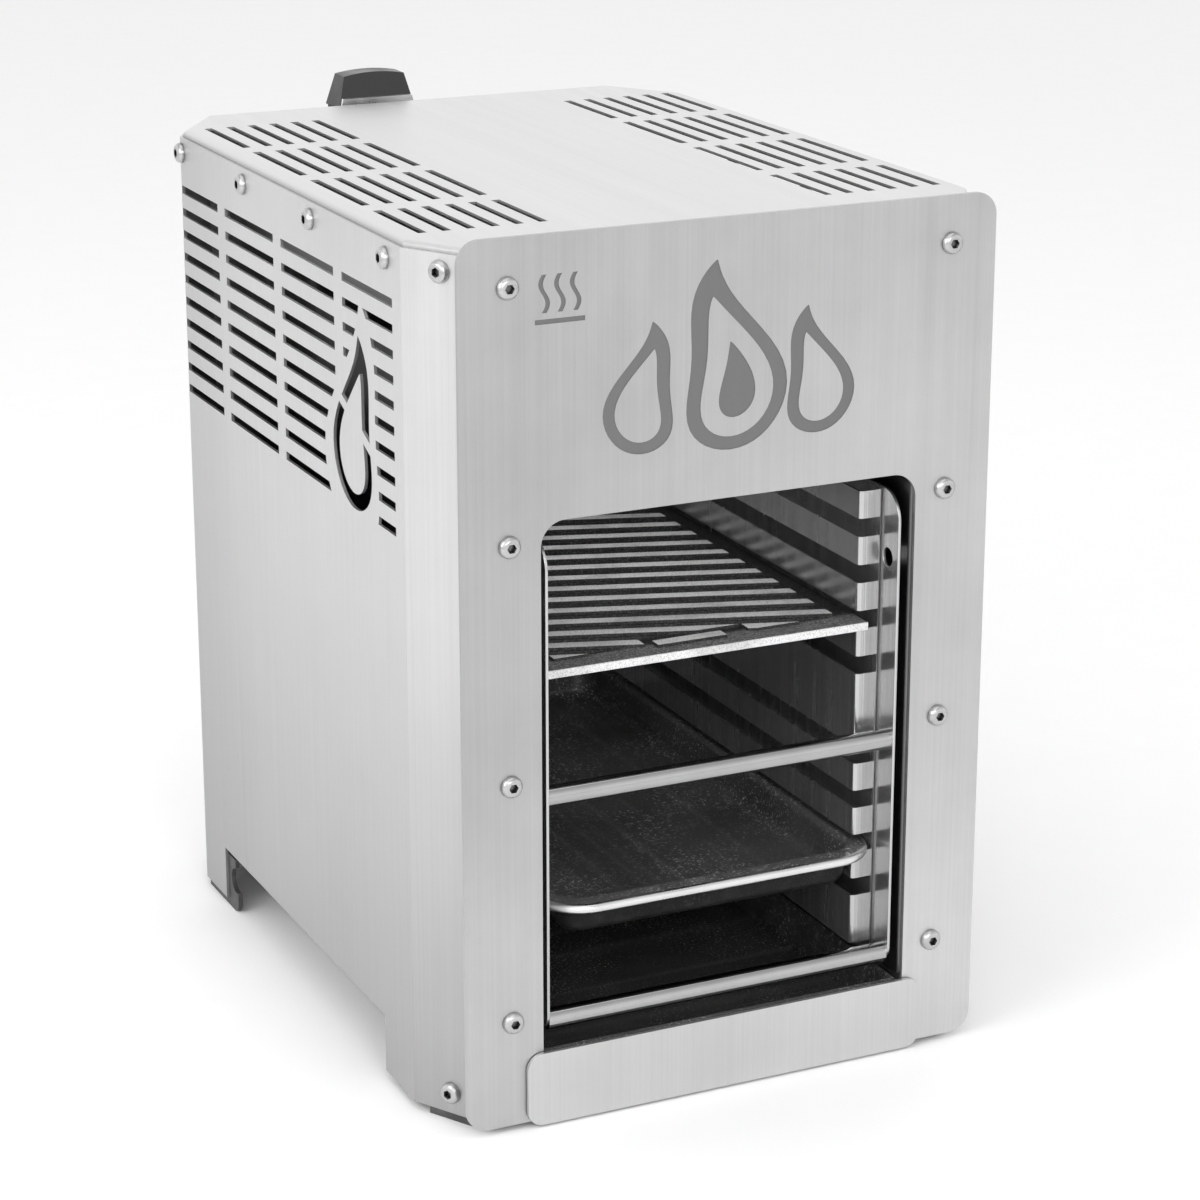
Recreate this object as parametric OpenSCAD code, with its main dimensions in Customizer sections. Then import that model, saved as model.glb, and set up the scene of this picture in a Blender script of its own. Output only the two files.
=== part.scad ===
// Table-top infrared broiler with an open front, a lift-out shelf rack and a drip tray.
// Millimetres, +Z up, front towards -Y. The origin is on the ground at the middle of the footprint.

/* [Body] */
// Width across the two side panels
body_w = 289; // [284:1:296]
// Depth from the face of the front plate to the face of the rear panel
body_d = 383; // [380:1:392]
// Width of the front plate
plate_w = 269; // [264:1:272]
// Height of the front plate
plate_h = 420; // [418:1:424]
// Thickness of the front plate
plate_t = 2; // [1.5:0.1:2.5]
// Thickness of the folded outer sheets
sheet_t = 1.5; // [1.2:0.1:1.6]
// Outside radius of the folds in the outer sheets
fold_r = 3; // [2.5:0.1:3.5]
// Gap between the ground and the front plate
plate_lift = 3; // [2:0.5:4]

/* [Cooking opening] */
// Width of the opening in the front plate
open_w = 191.4; // [191:0.1:192]
// Height of the top edge of the opening
open_top = 293.5; // [290:0.5:298]
// Radius of the upper corners of the opening
open_r = 12; // [8:1:14]

/* [Vents] */
// Distance between vent slots that lie side by side
vent_pitch = 11.7; // [11.4:0.1:12]
// Width of a vent slot
vent_w = 4.2; // [3.5:0.1:5]
// Rows of slots in each side panel
side_rows = 10; // [6:1:11]
// Columns of slots in each group of the lid
lid_cols = 6; // [4:1:6]

/* [Shelf rack] */
// Clear width between the two rack plates
rack_in_w = 180; // [179.5:0.1:180.4]
// Depth of the folded shelf channels
channel_w = 12.5; // [11:0.5:14]
// Distance between shelf slots
slot_pitch = 22.8; // [22.5:0.1:23]
// Height of a shelf slot
slot_h = 9; // [8.5:0.1:9.5]
// Diameter of the cross rods
rod_d = 10; // [8:0.5:10]

/* [Shelves] */
// Width of the cast grate
grate_w = 170; // [166:1:172]
// Depth of the cast grate
grate_d = 300; // [280:1:305]
// Width of the pan over its rim
pan_w = 176; // [174:0.5:177]
// Length of the pan over its rim
pan_d = 325; // [315:1:326]
// Depth of the pan
pan_h = 20; // [16:1:22]

/* [Control] */
// Diameter of the skirt of the heat knob
knob_d = 46; // [40:1:48]
// Side-to-side place of the heat knob
knob_x = -13; // [-20:1:0]

/* [Hidden] */
$fn = 48;
eps = 0.01;

// heights above the ground
plate_z = plate_lift;
panel_z = plate_lift + 1.5;
plate_top = plate_z + plate_h;
lid_top = plate_top - 6;
side_top = lid_top - fold_r;
base_z = 35;
bay_z = 8;
liner_top = 300;
cut_z = 33.5;
open_bot = bay_z + 1.6;

// plan of the folded body: half widths, chamfer legs and return flanges
hw = body_w / 2;
front_in = 22;
front_leg = 38;
rear_in = 27.5;
rear_leg = 41;
return_in = 44.5;
panel_gap = 1.7;
front_y = plate_t;
facet_mid = [hw - front_in / 2, front_y + front_leg / 2];
facet_ang = atan2(front_leg, front_in);

// screws
screw_d = 6;
head_d = 10.5;
head_h = 3.2;
hole_d = 6.4;
screw_len = 9;
front_screw_x = 111;
front_screw_z = [55.1, 171.3, 284.1, 400.7];
side_screw_y0 = 58;
side_screw_step = 94;
side_screw_z = lid_top - 11;
foot_screw_z = 15;
rear_screw_x = 106;
rear_screw_z = [60, 210, 360];

// clearance between a sliding piece and what carries it
slide_gap = 0.3;

// marks: the flames and the heat sign on the front plate, the flame in each side
mark_depth = 0.3;
flames_x = -2;
flames_z = 316;
heat_sign_x = -86;
heat_sign_z = 383;
side_flame_y = 100;
side_flame_z = 279;
side_flame_h = 84;

// cavity and rack
liner_t = 1.2;
liner_x = open_w / 2 - 0.2;
liner_z = base_z + 3;
liner_back_y = 350.8;
rack_t = 1.5;
rack_x = rack_in_w / 2;
rack_y = 5;
rack_len = 335;
rack_z = 44.5;
rack_top = 282;
channel_y = 20;
channel_len = 284;
channel_t = 1.2;
channel_r = 2.2;
channel_z = 51;
channel_top = 281;
slot_top = 267.6;
slot_ids = [0, 1, 2, 3, 5, 6, 7, 8];
rod_y = 10.5;
rod_zs = [48.2, 159.2];
grate_slot = 2;
pan_slot = 7;

// grate
grate_x = -3.5;
grate_y = 16;
grate_t = 4;
rib_rise = 1.6;
grate_rim = 14;
bar_ang = -18;
bar_pitch = 17;
bar_gap = 8;
grate_z = slot_top - grate_slot * slot_pitch - slot_h + slide_gap;

// pan
pan_y = 5.5;
pan_rim = 11;
pan_skirt = 5;
pan_t = 1;
pan_r = 24;
pan_z = slot_top - pan_slot * slot_pitch - slot_h + slide_gap;

// drip tray
tray_x = 94;
tray_y = -0.6;
tray_len = 345;
tray_z = bay_z + sheet_t + 0.6;
tray_top = 36;
tray_t = 1;
tray_face_w = 209.4;
tray_face_z = 1.2;
tray_face_top = 37.5;
tray_face_t = 2;
tray_face_r = 8;
rivet_xs = [-60, 0, 60];
rivet_z = (tray_face_z + tray_face_top) / 2;

// heater
heat_y = 12;
heat_len = 334;
heat_x = 99;
heat_h = 40;
heat_z = liner_top + 0.2;
tube_d = 8;
tube_z = heat_z + 9;
hairpin_xs = [-60, 0, 60];
leg_x = 14;
hairpin_y = 34;
tube_end = heat_y + heat_len + 16;
support_ys = [95, 265];
reflector_z = 14;
reflector_h = 7.2;
shield_z = 362;

// control box on the rear panel
box_w = 116;
box_d = 50;
box_z = 292;
box_top = 406;
box_t = 1.2;
knob_y = body_d + 27;
knob_z = box_top + 1;
knob_top = 430;
skirt_h = 4.5;
grip_h = knob_top - knob_z - skirt_h;
grip_half = 10.5;
grip_top_half = 6.5;
grip_long = 21.8;
grip_taper = 4.8;
grip_box = 46;
shaft_d = 6;
inlet_w = 48;
inlet_h = 27;
inlet_z = 326;
inlet_x = knob_x - 28;
inlet_rise = 2.5;
inlet_screw_x = 20;
lamp_x = knob_x + 44;
ear_screw_x = box_w / 2 + 6;
ear_screw_z = 340;
regulator_h = 35.8;
lead_z = 355;
lead_y = tube_end + 8;

// terminal block, with its four sockets in a row
block_x = knob_x + 2;
block_y = body_d + 4;
block_z = 306;
block_size = [48, 17, 14];
socket_d = 5;
socket_z = block_z + 6;
function socket_at(k) = [block_x + 7 + k * 11.3, block_y + 8.5];

// the whole object reaches from the screw heads in front to the inlet's flange behind
y_front = -head_h;
y_back = body_d + box_d + inlet_rise;
y_mid = (y_front + y_back) / 2;

// ---- helpers ----

// unit vector along v
function unit(v) = v / norm(v);

// a left-hand normal of v
function left_of(v) = [-v[1], v[0]];

// arc that rounds the corner b between a and c, as a short list of points
function corner(a, b, c, r, n = 5) =
    let (
        u = unit(a - b),
        v = unit(c - b),
        half = acos(max(-1, min(1, u * v))) / 2,
        reach = r / tan(half),
        mid = b + unit(u + v) * r / sin(half),
        p = b + u * reach - mid,
        q = b + v * reach - mid,
        sweep = (180 - 2 * half) * sign(p[0] * q[1] - p[1] * q[0])
    )
    [for (i = [0:n]) let (g = sweep * i / n)
        mid + [p[0] * cos(g) - p[1] * sin(g), p[0] * sin(g) + p[1] * cos(g)]];

// an open path with all its inner corners rounded
function rounded_path(pts, r) =
    let (last = len(pts) - 1)
    concat(
        [pts[0]],
        [for (i = [1:last - 1]) each corner(pts[i - 1], pts[i], pts[i + 1], r)],
        [pts[last]]
    );

// direction of a path at its point i
function heading(pts, i) =
    unit(pts[min(i + 1, len(pts) - 1)] - pts[max(i - 1, 0)]);

// a strip of sheet that lies to the left of a path
module sheet_strip(pts, t) {
    inner = [for (i = [len(pts) - 1:-1:0]) pts[i] + left_of(heading(pts, i)) * t];
    polygon(concat(pts, inner));
}

// rectangle with round corners, centred, made of true arcs
module round_rect(w, h, r) {
    square([w - 2 * r, h], center = true);
    square([w, h - 2 * r], center = true);
    for (sx = [-1, 1], sy = [-1, 1])
        translate([sx * (w / 2 - r), sy * (h / 2 - r)]) circle(r);
}

// octagon of the body's plan, drawn in by a wall of thickness g
function plan(g) =
    let (
        kf = g * tan((90 - facet_ang) / 2),
        kr = g * tan(atan2(rear_in, rear_leg) / 2),
        fs = g * tan(facet_ang / 2),
        rs = g * tan(atan2(rear_leg, rear_in) / 2),
        xf = hw - front_in,
        xr = hw - rear_in
    )
    [
        [-xf + fs, front_y + g], [xf - fs, front_y + g],
        [hw - g, front_y + front_leg + kf], [hw - g, body_d - rear_leg - kr],
        [xr - rs, body_d - g], [-xr + rs, body_d - g],
        [-hw + g, body_d - rear_leg - kr], [-hw + g, front_y + front_leg + kf]
    ];

// closed solid through rings of points, which run counter-clockwise as seen from the last one
module loft(rings) {
    count = len(rings[0]);
    top = len(rings) - 1;
    sides = [for (k = [0:top - 1], i = [0:count - 1])
        [k * count + i, (k + 1) * count + i, (k + 1) * count + (i + 1) % count, k * count + (i + 1) % count]];
    ends = [[for (i = [0:count - 1]) i], [for (i = [count - 1:-1:0]) top * count + i]];
    polyhedron([for (ring = rings) each ring], concat(sides, ends));
}

// places a thing in the frame whose origin is the middle of the footprint
module place() {
    translate([0, -y_mid, 0]) children();
}

// stands a drawing of X and Z up, with its face towards -Y at the given depth
module upright(y, t) {
    translate([0, y + t, 0]) rotate([90, 0, 0]) linear_extrude(t) children();
}

// stands a drawing of Y and Z up, with its thickness along +X
module sideways(x, t) {
    translate([x, 0, 0]) rotate([90, 0, 90]) linear_extrude(t) children();
}

// half section of a button head: a rim, a round crown and a flat round the socket
function head_profile(n = 6) =
    let (rim = 0.5, flat = 2.7)
    concat(
        [[0, 0], [head_d / 2, 0]],
        [for (i = [0:n]) let (a = 90 * i / n)
            [flat + (head_d / 2 - flat) * cos(a), rim + (head_h - rim) * sin(a)]],
        [[0, head_h]]
    );

// button-head socket screw, head outwards along +Z, seated on Z = 0
module screw(len = screw_len) {
    socket_w = 4.6;
    socket_floor = 0.9;
    difference() {
        union() {
            rotate_extrude($fn = 32) polygon(head_profile());
            translate([0, 0, -len]) cylinder(d = screw_d, h = len + 0.4);
        }
        translate([0, 0, socket_floor]) cylinder(d = socket_w, h = head_h, $fn = 6);
    }
}

// hole for a screw along Z
module screw_hole(d = hole_d) {
    translate([0, 0, -12]) cylinder(d = d, h = 24);
}

// turns +Z outwards along the left or right front chamfer, at its middle
module on_facet(s, z) {
    translate([s * facet_mid[0], facet_mid[1], z])
        rotate([0, 0, s > 0 ? facet_ang - 90 : 90 - facet_ang])
            rotate([0, s * 90, 0]) children();
}

module on_front(x, z) {
    translate([x, 0, z]) rotate([90, 0, 0]) children();
}

module on_side(s, y, z) {
    translate([s * hw, y, z]) rotate([0, s * 90, 0]) children();
}

module on_rear(x, z) {
    translate([x, body_d, z]) rotate([-90, 0, 0]) children();
}

function side_screw_ys() = [for (i = [0:3]) side_screw_y0 + i * side_screw_step];

// ---- marks ----

// half width of a flame at height t of 1
function flame_half(t) = 0.31 * pow(max(0, sin(180 * pow(t, 0.62))), 0.8) * (1 - 0.25 * t);

// side sway of a flame at height t of 1
function flame_sway(t) = 0.13 * sin(320 * t) * t;

// flame of height 1 on the origin, or a smaller one inside it: it starts at
// height base, and is size times as high and wide times as wide
function flame_pts(base = 0, size = 1, wide = 1, n = 26) =
    let (
        ts = [for (i = [0:n]) (1 - cos(180 * i / n)) / 2],
        edge = function (t, side) [flame_sway(base + size * t) + side * wide * flame_half(t), base + size * t]
    )
    concat([for (i = [0:n]) edge(ts[i], 1)], [for (i = [n - 1:-1:1]) edge(ts[i], -1)]);

module flame(h, base = 0, size = 1, wide = 1) {
    polygon(flame_pts(base, size, wide) * h);
}

// a flame drawn as a line: the outline with a smaller flame taken out
module flame_line(h, base, size, wide) {
    difference() {
        flame(h);
        flame(h, base, size, wide);
    }
}

module small_flame() {
    flame_line(60, 0.09, 0.7, 0.66);
}

// three flames side by side, on the front plate
module front_mark() {
    tall = 88;
    side_x = 44;
    side_z = 3;
    flame_line(tall, 0.07, 0.74, 0.72);
    flame(tall, 0.17, 0.4, 0.36);
    translate([side_x, side_z]) small_flame();
    translate([-side_x, side_z]) mirror([1, 0]) small_flame();
}

// small heat sign: three waves over a bar
module heat_mark() {
    wave_h = 17;
    wave_pitch = 7.5;
    sway = 1.7;
    line_w = 2.2;
    steps = 12;
    for (k = [-1:1])
        translate([k * wave_pitch, 5])
            polygon(concat(
                [for (i = [0:steps]) [sway * sin(360 * i / steps) - line_w / 2, wave_h * i / steps]],
                [for (i = [steps:-1:0]) [sway * sin(360 * i / steps) + line_w / 2, wave_h * i / steps]]
            ));
    translate([-12, 0]) square([24, line_w]);
}

// ---- outer casing ----

module front_plate() {
    corner_r = 11;
    mid_z = plate_z + plate_h / 2;
    color([0.74, 0.74, 0.75]) difference() {
        upright(0, plate_t) translate([0, mid_z]) round_rect(plate_w, plate_h, corner_r);
        upright(-1, plate_t + 2) {
            translate([0, (open_bot + open_top) / 2]) round_rect(open_w, open_top - open_bot, open_r);
            translate([-open_w / 2, open_bot]) square([open_w, 40]);
        }
        upright(-1, 1 + mark_depth) {
            translate([flames_x, flames_z]) front_mark();
            translate([heat_sign_x, heat_sign_z]) heat_mark();
        }
        for (s = [-1, 1], z = front_screw_z) on_front(s * front_screw_x, z) screw_hole();
    }
}

// plan path of one side panel: front return, chamfer, side, chamfer, rear return
function side_path() = let (rear_return = 24) rounded_path([
    [-(hw - return_in), front_y],
    [-(hw - front_in), front_y],
    [-hw, front_y + front_leg],
    [-hw, body_d - rear_leg],
    [-(hw - rear_in), body_d],
    [-(hw - rear_in) + rear_return, body_d]
], fold_r);

// vent slots of the side, drawn in Y and Z
module side_vents() {
    first = 50;
    last = 343;
    bridge = 10.8;
    step = 81.2;
    first_bridge = 117.3;
    top_z = lid_top - 28;
    for (r = [0:side_rows - 1])
        translate([0, top_z - vent_w - r * vent_pitch]) difference() {
            translate([first, 0]) square([last - first, vent_w]);
            for (k = [0:2])
                translate([first_bridge + k * step - bridge / 2, -1]) square([bridge, vent_w + 2]);
        }
}

// flame-shaped opening in the side, with a slanted tie across it that holds its middle
module side_mark() {
    tie_w = 5;
    tie_len = 80;
    difference() {
        flame_line(side_flame_h, 0.09, 0.7, 0.66);
        translate([0, side_flame_h * 0.5]) rotate(24) square([tie_len, tie_w], center = true);
    }
}

module side_panel() {
    cut_front = 76;
    cut_back = 308.5;
    plain_margin = 17;
    color([0.76, 0.76, 0.77]) difference() {
        translate([0, 0, panel_z]) linear_extrude(side_top - panel_z)
            sheet_strip(side_path(), -sheet_t);
        sideways(-hw - 1, sheet_t + 2) {
            difference() {
                side_vents();
                translate([side_flame_y, side_flame_z - plain_margin])
                    flame(side_flame_h + 2 * plain_margin);
            }
            translate([side_flame_y, side_flame_z]) side_mark();
            translate([cut_front, 0]) square([cut_back - cut_front, cut_z]);
        }
        for (z = front_screw_z) on_front(-front_screw_x, z) screw_hole();
        for (y = side_screw_ys()) on_side(-1, y, side_screw_z) screw_hole();
        for (z = [foot_screw_z, side_screw_z]) on_facet(-1, z) screw_hole();
        for (z = rear_screw_z) on_rear(-rear_screw_x, z) screw_hole();
    }
}

module side_left() {
    side_panel();
}

module side_right() {
    mirror([1, 0, 0]) side_panel();
}

// solid with the body's plan and a round upper edge of radius r
module rounded_cap(g, z0, z1, r) {
    steps = 6;
    levels = concat(
        [[0, z0]],
        [for (i = [0:steps]) let (a = 90 * i / steps) [r - r * cos(a), z1 - r + r * sin(a)]]
    );
    loft([for (v = levels) [for (p = plan(g + v[0])) [p[0], p[1], v[1]]]]);
}

// one block of vent slots of the lid, from its outermost slot at x0 inwards, where s is +1 or -1
module lid_vents(x0, s) {
    first = 51;
    last = 342;
    bridge = 13.5;
    step = 81.3;
    first_bridge = 112.4;
    for (c = [0:lid_cols - 1])
        translate([x0 + s * c * vent_pitch - vent_w / 2, 0]) difference() {
            translate([0, first]) square([vent_w, last - first]);
            for (k = [0:2])
                translate([-1, first_bridge + k * step - bridge / 2]) square([vent_w + 2, bridge]);
        }
}

module lid() {
    gap = sheet_t + 0.2;
    lid_t = 1.2;
    skirt = 19;
    top_r = 2.4;
    vents_left = -129;
    vents_right = 133;
    color([0.86, 0.86, 0.87]) difference() {
        rounded_cap(gap, lid_top - skirt, lid_top, top_r);
        translate([0, 0, lid_top - skirt - 1])
            linear_extrude(skirt + 1 - lid_t) polygon(plan(gap + lid_t));
        translate([0, 0, lid_top - 5]) linear_extrude(10) {
            lid_vents(vents_left, 1);
            lid_vents(vents_right, -1);
        }
        for (s = [-1, 1], y = side_screw_ys()) on_side(s, y, side_screw_z) screw_hole();
        for (s = [-1, 1]) on_facet(s, side_screw_z) screw_hole();
        for (s = [-1, 1]) on_front(s * front_screw_x, front_screw_z[3]) screw_hole(head_d);
    }
}

module rear_panel() {
    half = hw - rear_in - 1;
    foot = 14;
    top = lid_top - 20;
    low_vent_z = 100;
    low_vent_w = 68;
    low_vent_x = 52;
    lead_cut = [28, 20];
    color([0.7, 0.7, 0.71]) difference() {
        upright(body_d - sheet_t - panel_gap, sheet_t)
            translate([-half, foot]) square([2 * half, top - foot]);
        upright(body_d - 20, 40) {
            for (r = [0:5], s = [-1, 1])
                translate([s * low_vent_x - low_vent_w / 2, low_vent_z + r * vent_pitch])
                    square([low_vent_w, vent_w]);
            translate([(socket_at(0)[0] + socket_at(1)[0]) / 2, lead_z])
                square(lead_cut, center = true);
        }
        for (s = [-1, 1], z = rear_screw_z) on_rear(s * rear_screw_x, z) screw_hole();
        for (s = [-1, 1]) on_rear(knob_x + s * ear_screw_x, ear_screw_z) screw_hole();
    }
}

// folded floor: two side shelves and a deep bay that guides the drip tray
module base_plate() {
    bay_x = tray_x + 2.6 + sheet_t;
    front = front_y + sheet_t + 0.2;
    high = 60;
    back_flange = 4.8;
    len = body_d - front - panel_gap - sheet_t - back_flange;
    path = rounded_path([
        [-hw, base_z], [-bay_x, base_z], [-bay_x, bay_z],
        [bay_x, bay_z], [bay_x, base_z], [hw, base_z]
    ], 2);
    color([0.55, 0.55, 0.56]) intersection() {
        translate([0, body_d, 0]) rotate([90, 0, 0]) linear_extrude(body_d)
            sheet_strip(path, sheet_t);
        linear_extrude(high) polygon(plan(sheet_t + 0.05));
        translate([-hw, front, 0]) cube([body_w, len, high]);
    }
}

// four dark foot plates inside the corners of the casing
module feet() {
    foot_t = 2.5;
    top = 30;
    front_len = 31;
    rear_y = 294;
    rear_len = 46.5;
    rear_inset = sheet_t + foot_t + 0.05;
    notch = [297, 18];
    notch_r = 7;
    hole_y = 17;
    toe_r = 6;
    color([0.2, 0.2, 0.21]) for (s = [-1, 1]) {
        on_facet(s, 0) rotate([0, s * -90, 0])
            translate([s > 0 ? -sheet_t - foot_t : sheet_t, -hole_y, 0]) difference() {
                cube([foot_t, front_len, top]);
                translate([-1, hole_y, foot_screw_z]) rotate([0, 90, 0]) cylinder(d = hole_d, h = 9);
            }
        sideways(s > 0 ? hw - rear_inset : -hw + rear_inset - foot_t, foot_t)
            difference() {
                translate([rear_y, 0]) square([rear_len, top]);
                translate([rear_y, 0]) difference() {
                    square(toe_r);
                    translate([toe_r, toe_r]) circle(toe_r);
                }
                translate(notch) circle(notch_r);
                translate(notch - [notch_r, 0]) square([notch_r, top]);
            }
    }
}

// ---- oven cavity ----

module liner_side() {
    front = front_y + sheet_t + 0.2;
    flange = 9;
    path = [[-(front_screw_x + flange), front], [-liner_x, front], [-liner_x, liner_back_y + liner_t]];
    color([0.36, 0.36, 0.38]) difference() {
        translate([0, 0, liner_z]) linear_extrude(liner_top - liner_z)
            sheet_strip(rounded_path(path, 2), liner_t);
        for (z = front_screw_z) on_front(-front_screw_x, z) screw_hole();
    }
}

module liner_left() {
    liner_side();
}

module liner_right() {
    mirror([1, 0, 0]) liner_side();
}

module liner_back() {
    color([0.3, 0.3, 0.32])
        translate([-liner_x + 0.1, liner_back_y, liner_z])
            cube([2 * liner_x - 0.2, liner_t, liner_top - liner_z]);
}

// angle on the liner that carries the foot of the rack
module rail() {
    rail_t = 1.2;
    rail_y = 22;
    rail_len = 318;
    drop = 4.6;
    shelf_z = rack_z - slide_gap - rail_t;
    color([0.45, 0.45, 0.47]) {
        translate([-liner_x, rail_y, shelf_z]) cube([liner_x - rack_x - 0.4, rail_len, rail_t]);
        translate([-liner_x, rail_y, shelf_z - drop]) cube([1, rail_len, drop + 0.1]);
    }
}

module rail_left() {
    rail();
}

module rail_right() {
    mirror([1, 0, 0]) rail();
}

// ---- heater ----

// box inside the heater's housing, open downwards where the board and the reflector lie
module heater_layer(z, h) {
    inset = 2;
    translate([-heat_x + inset, heat_y + inset, heat_z + z])
        cube([2 * (heat_x - inset), heat_len - 2 * inset, h]);
}

module heater_housing() {
    wall = 1.2;
    color([0.5, 0.5, 0.52]) difference() {
        translate([-heat_x, heat_y, heat_z]) cube([2 * heat_x, heat_len, heat_h]);
        translate([-heat_x + wall, heat_y + wall, heat_z - 1])
            cube([2 * (heat_x - wall), heat_len - 2 * wall, heat_h + 1 - wall]);
        for (x = hairpin_xs, s = [-1, 1])
            translate([x + s * leg_x, heat_y + heat_len - 5, tube_z]) rotate([-90, 0, 0])
                cylinder(d = tube_d + 4.4, h = 10);
    }
}

module insulation_board() {
    color([0.9, 0.88, 0.82]) heater_layer(reflector_z + reflector_h + 0.2, 17.2);
}

module reflector() {
    wall = 0.8;
    edge = 2 + wall;
    color([0.8, 0.8, 0.82]) difference() {
        heater_layer(reflector_z, reflector_h);
        translate([-heat_x + edge, heat_y + edge, heat_z + reflector_z - 1])
            cube([2 * (heat_x - edge), heat_len - 2 * edge, reflector_h + 1 - wall]);
    }
}

// three hairpin tubes side by side
module heating_elements() {
    color([0.32, 0.24, 0.2]) for (x = hairpin_xs) translate([x, 0, tube_z]) {
        for (s = [-1, 1])
            translate([s * leg_x, hairpin_y, 0]) rotate([-90, 0, 0])
                cylinder(d = tube_d, h = tube_end - hairpin_y);
        translate([0, hairpin_y, 0]) rotate([0, 0, 180]) rotate_extrude(angle = 180)
            translate([leg_x, 0]) circle(d = tube_d);
    }
}

// comb bars that the tubes lie in
module element_supports() {
    bar_t = 1.5;
    color([0.6, 0.6, 0.62]) for (y = support_ys) difference() {
        translate([-heat_x + 1.4, y, tube_z - 6]) cube([2 * heat_x - 2.8, bar_t, 10.6]);
        for (x = hairpin_xs, s = [-1, 1])
            translate([x + s * leg_x, y - 1, tube_z]) rotate([-90, 0, 0])
                cylinder(d = tube_d + 0.4, h = 4);
    }
}

// ceramic bushes where the tubes leave the housing
module element_bushes() {
    back = heat_y + heat_len;
    color([0.93, 0.91, 0.86]) for (x = hairpin_xs, s = [-1, 1])
        translate([x + s * leg_x, back, tube_z]) rotate([-90, 0, 0]) difference() {
            union() {
                translate([0, 0, -1.6]) cylinder(d = tube_d + 4, h = 2);
                cylinder(d = tube_d + 9, h = 4);
            }
            translate([0, 0, -4]) cylinder(d = tube_d + 0.4, h = 12);
        }
}

// flat sheet with an upturned edge on each side, between the heater and the lid
module heat_shield() {
    half = 112;
    front = 14;
    len = 346;
    edge_h = 9;
    color([0.66, 0.66, 0.68]) {
        translate([-half, front, shield_z]) cube([2 * half, len, 1]);
        for (s = [-1, 1]) translate([s * half - 0.5, front, shield_z]) cube([1, len, edge_h]);
    }
}

module shield_spacers() {
    top = heat_z + heat_h;
    color([0.62, 0.62, 0.64]) for (s = [-1, 1], y = [50, 320])
        translate([s * 80, y, top]) cylinder(d = 10, h = shield_z - top, $fn = 24);
}

// ---- fasteners ----

module front_screws() {
    color([0.82, 0.82, 0.83]) for (s = [-1, 1], z = front_screw_z)
        on_front(s * front_screw_x, z) screw();
}

module side_screws() {
    color([0.82, 0.82, 0.83]) for (s = [-1, 1]) {
        for (y = side_screw_ys()) on_side(s, y, side_screw_z) screw(7);
        on_facet(s, side_screw_z) screw(7);
    }
}

module foot_screws() {
    color([0.82, 0.82, 0.83]) for (s = [-1, 1]) on_facet(s, foot_screw_z) screw(7);
}

module rear_screws() {
    ear_seat = 1.2 - panel_gap;
    color([0.82, 0.82, 0.83]) {
        for (s = [-1, 1], z = rear_screw_z) on_rear(s * rear_screw_x, z) screw(7);
        for (s = [-1, 1]) translate([0, ear_seat, 0])
            on_rear(knob_x + s * ear_screw_x, ear_screw_z) screw(7);
    }
}

// threaded inserts behind the front plate
module rivet_nuts() {
    start = plate_t + sheet_t + liner_t + 0.4;
    color([0.6, 0.6, 0.62]) for (s = [-1, 1], z = front_screw_z) {
        behind = z < front_screw_z[3] ? start : start - liner_t + 1.4;
        translate([s * front_screw_x, behind, z]) rotate([-90, 0, 0]) difference() {
            cylinder(d = head_d - 1.5, h = 6);
            translate([0, 0, -1]) cylinder(d = screw_d + 0.2, h = 9);
        }
    }
}

// ---- shelf rack ----

// flat side of the rack: its foot corner is a quarter of a small circle, and its
// upper front corner stands back and is a quarter of a larger one
module rack_plate() {
    foot_r = 8;
    top_r = 14;
    high = rack_top - rack_z;
    narrow_z = 60;
    hang_hole = [14.5, 249];
    color([0.72, 0.72, 0.74]) sideways(-rack_x - rack_t, rack_t) difference() {
        translate([rack_y, rack_z]) {
            translate([0, foot_r]) square([rack_len, high - foot_r - top_r]);
            translate([foot_r, 0]) square([rack_len - foot_r, 20]);
            translate([foot_r, foot_r]) circle(foot_r);
            translate([top_r, narrow_z]) square([rack_len - top_r, high - narrow_z]);
            translate([top_r, high - top_r]) circle(top_r);
        }
        translate(hang_hole) circle(d = 9);
    }
}

// folded channel on the right rack plate, cut through by the shelf slots down to its back wall
module rack_channel() {
    color([0.78, 0.78, 0.8]) difference() {
        translate([rack_x - channel_w / 2, channel_y + channel_len / 2, channel_z])
            linear_extrude(channel_top - channel_z) difference() {
                round_rect(channel_w, channel_len, channel_r);
                round_rect(channel_w - 2 * channel_t, channel_len - 2 * channel_t, channel_r - channel_t);
            }
        for (k = slot_ids)
            translate([rack_x - channel_w - channel_t, channel_y - 1, slot_top - k * slot_pitch - slot_h])
                cube([channel_w, channel_len + 2, slot_h]);
    }
}

module rack_plate_left() {
    rack_plate();
}

module rack_plate_right() {
    mirror([1, 0, 0]) rack_plate();
}

module rack_channel_right() {
    rack_channel();
}

// the same piece as on the right, turned half round, so that it starts further back
module rack_channel_left() {
    translate([0, 2 * rack_y + rack_len, 0]) rotate([0, 0, 180]) rack_channel();
}

module rack_rods() {
    back_y = rack_y + rack_len - 5;
    color([0.85, 0.85, 0.87]) for (z = rod_zs, y = [rod_y, back_y])
        translate([-rack_x, y, z]) rotate([0, 90, 0]) cylinder(d = rod_d, h = 2 * rack_x);
}

// ---- shelves ----

// long bars at a slant, drawn around the middle of the grate
module slanted_bars(w) {
    count = ceil(grate_d / bar_pitch / 2) + 3;
    rotate(bar_ang) for (i = [-count:count])
        translate([0, i * bar_pitch]) square([2 * grate_d, w], center = true);
}

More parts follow.
